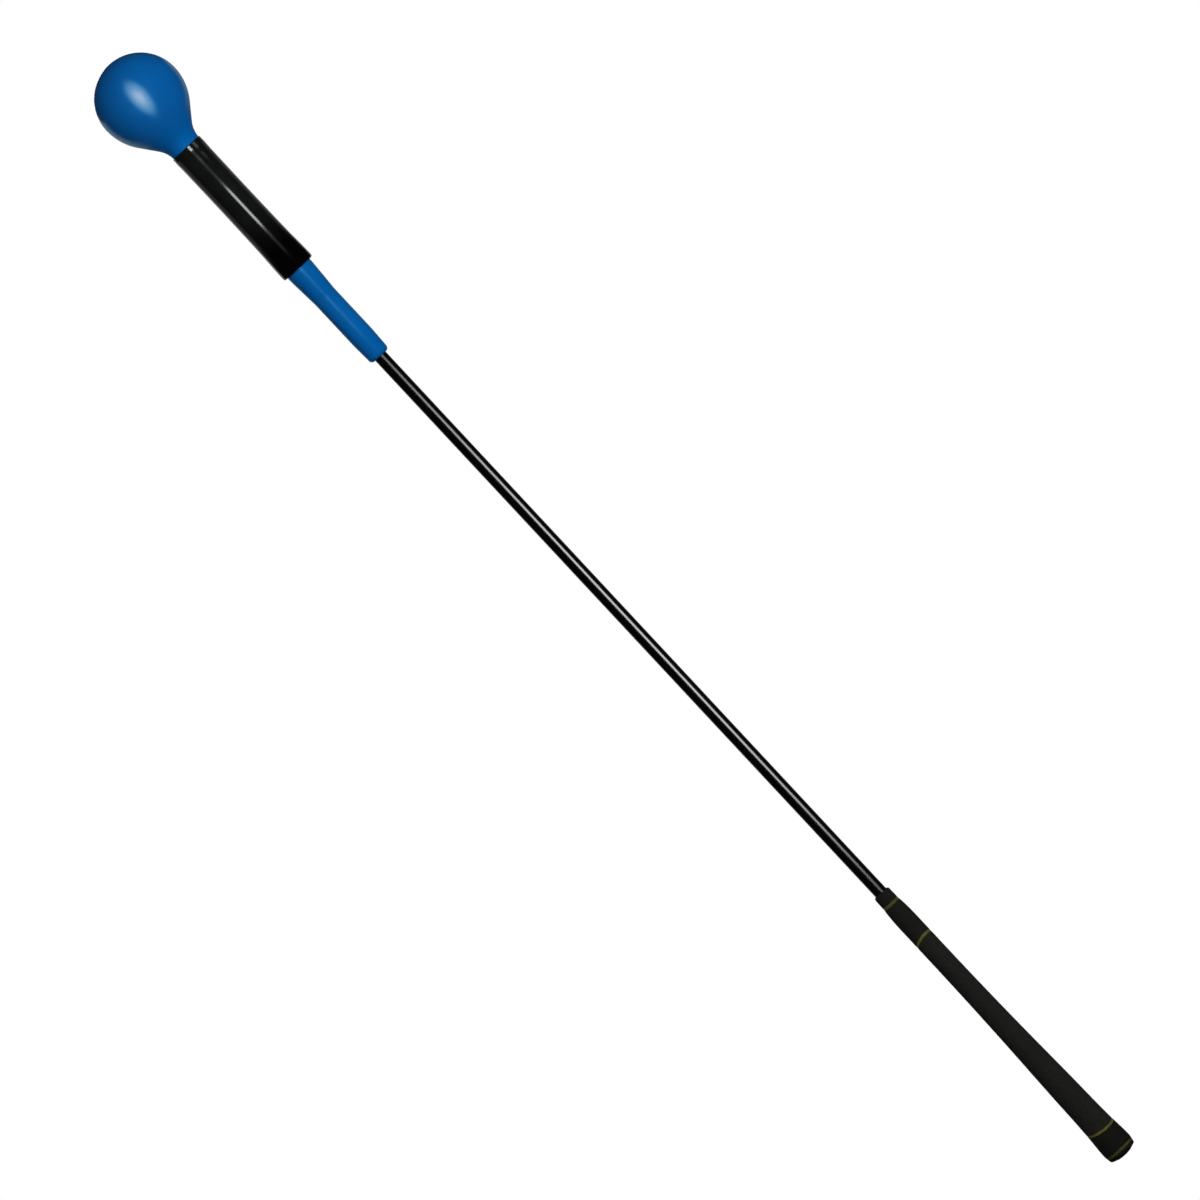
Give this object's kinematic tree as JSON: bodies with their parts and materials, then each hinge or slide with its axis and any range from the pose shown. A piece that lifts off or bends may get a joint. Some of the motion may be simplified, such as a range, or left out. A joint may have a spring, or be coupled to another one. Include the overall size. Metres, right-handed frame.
{
  "type": "swing trainer stick",
  "caption": "Flexible swing trainer: weighted ball head on a slim whippy shaft, with a sleeved neck, a tapered boot and a moulded golf grip at the other end.",
  "frame": {"origin": "centre of the grip's butt end, at the mouth of the vent hole", "axes": "+Z along the straight shaft from the butt to the ball; the grip's front panel faces -Y"},
  "size_m": [0.0762, 0.0762, 1.2192],
  "materials": {
    "blue_moulding": "satin",
    "black_vinyl": "gloss",
    "coated_rod": "gloss",
    "grip_rubber": "matte",
    "gold_paint": "satin",
    "core_rubber": "matte",
    "steel": "satin",
    "aluminium": "satin",
    "hard_plastic": "satin",
    "tape": "matte"
  },
  "bodies": {
    "handle": {"grip_sleeve": "grip_rubber", "grip_cap": "grip_rubber", "mouth_band": "gold_paint", "upper_panel_band": "gold_paint", "lower_panel_band": "gold_paint", "cap_band": "gold_paint", "grip_tape": "tape", "build_up_tube": "hard_plastic", "counterweight": "steel", "butt_plug": "hard_plastic", "shaft_butt_span": "coated_rod"},
    "lower_shaft": {"shaft_lower_span": "coated_rod"},
    "middle_shaft": {"shaft_middle_span": "coated_rod"},
    "upper_shaft": {"shaft_upper_span": "coated_rod"},
    "head": {"shaft_tip_span": "coated_rod", "tail_boot": "blue_moulding", "head_sleeve": "black_vinyl", "weight_tube": "steel", "ball_cover": "blue_moulding", "ball_core": "core_rubber", "tip_ferrule": "aluminium", "retaining_pin": "steel"}
  },
  "joints": [
    {"name": "flex_side_lower", "type": "hinge", "parent": "handle", "child": "lower_shaft", "pos_m": [0, 0, 0.36905], "axis": [0, 1, 0], "range_deg": [-12, 12], "stiffness_Nm_per_rad": 119},
    {"name": "flex_front_lower", "type": "hinge", "parent": "lower_shaft", "child": "middle_shaft", "pos_m": [0, 0, 0.51915], "axis": [1, 0, 0], "range_deg": [-14, 14], "stiffness_Nm_per_rad": 119},
    {"name": "flex_side_upper", "type": "hinge", "parent": "middle_shaft", "child": "upper_shaft", "pos_m": [0, 0, 0.66925], "axis": [0, 1, 0], "range_deg": [-7.3, 7.3], "stiffness_Nm_per_rad": 119},
    {"name": "flex_front_upper", "type": "hinge", "parent": "upper_shaft", "child": "head", "pos_m": [0, 0, 0.81935], "axis": [1, 0, 0], "range_deg": [-7.1, 7.1], "stiffness_Nm_per_rad": 119}
  ],
  "couplings": [
    {"joint": "flex_side_upper", "follows": "flex_side_lower", "ratio": 0.6},
    {"joint": "flex_front_upper", "follows": "flex_front_lower", "ratio": 0.5}
  ]
}
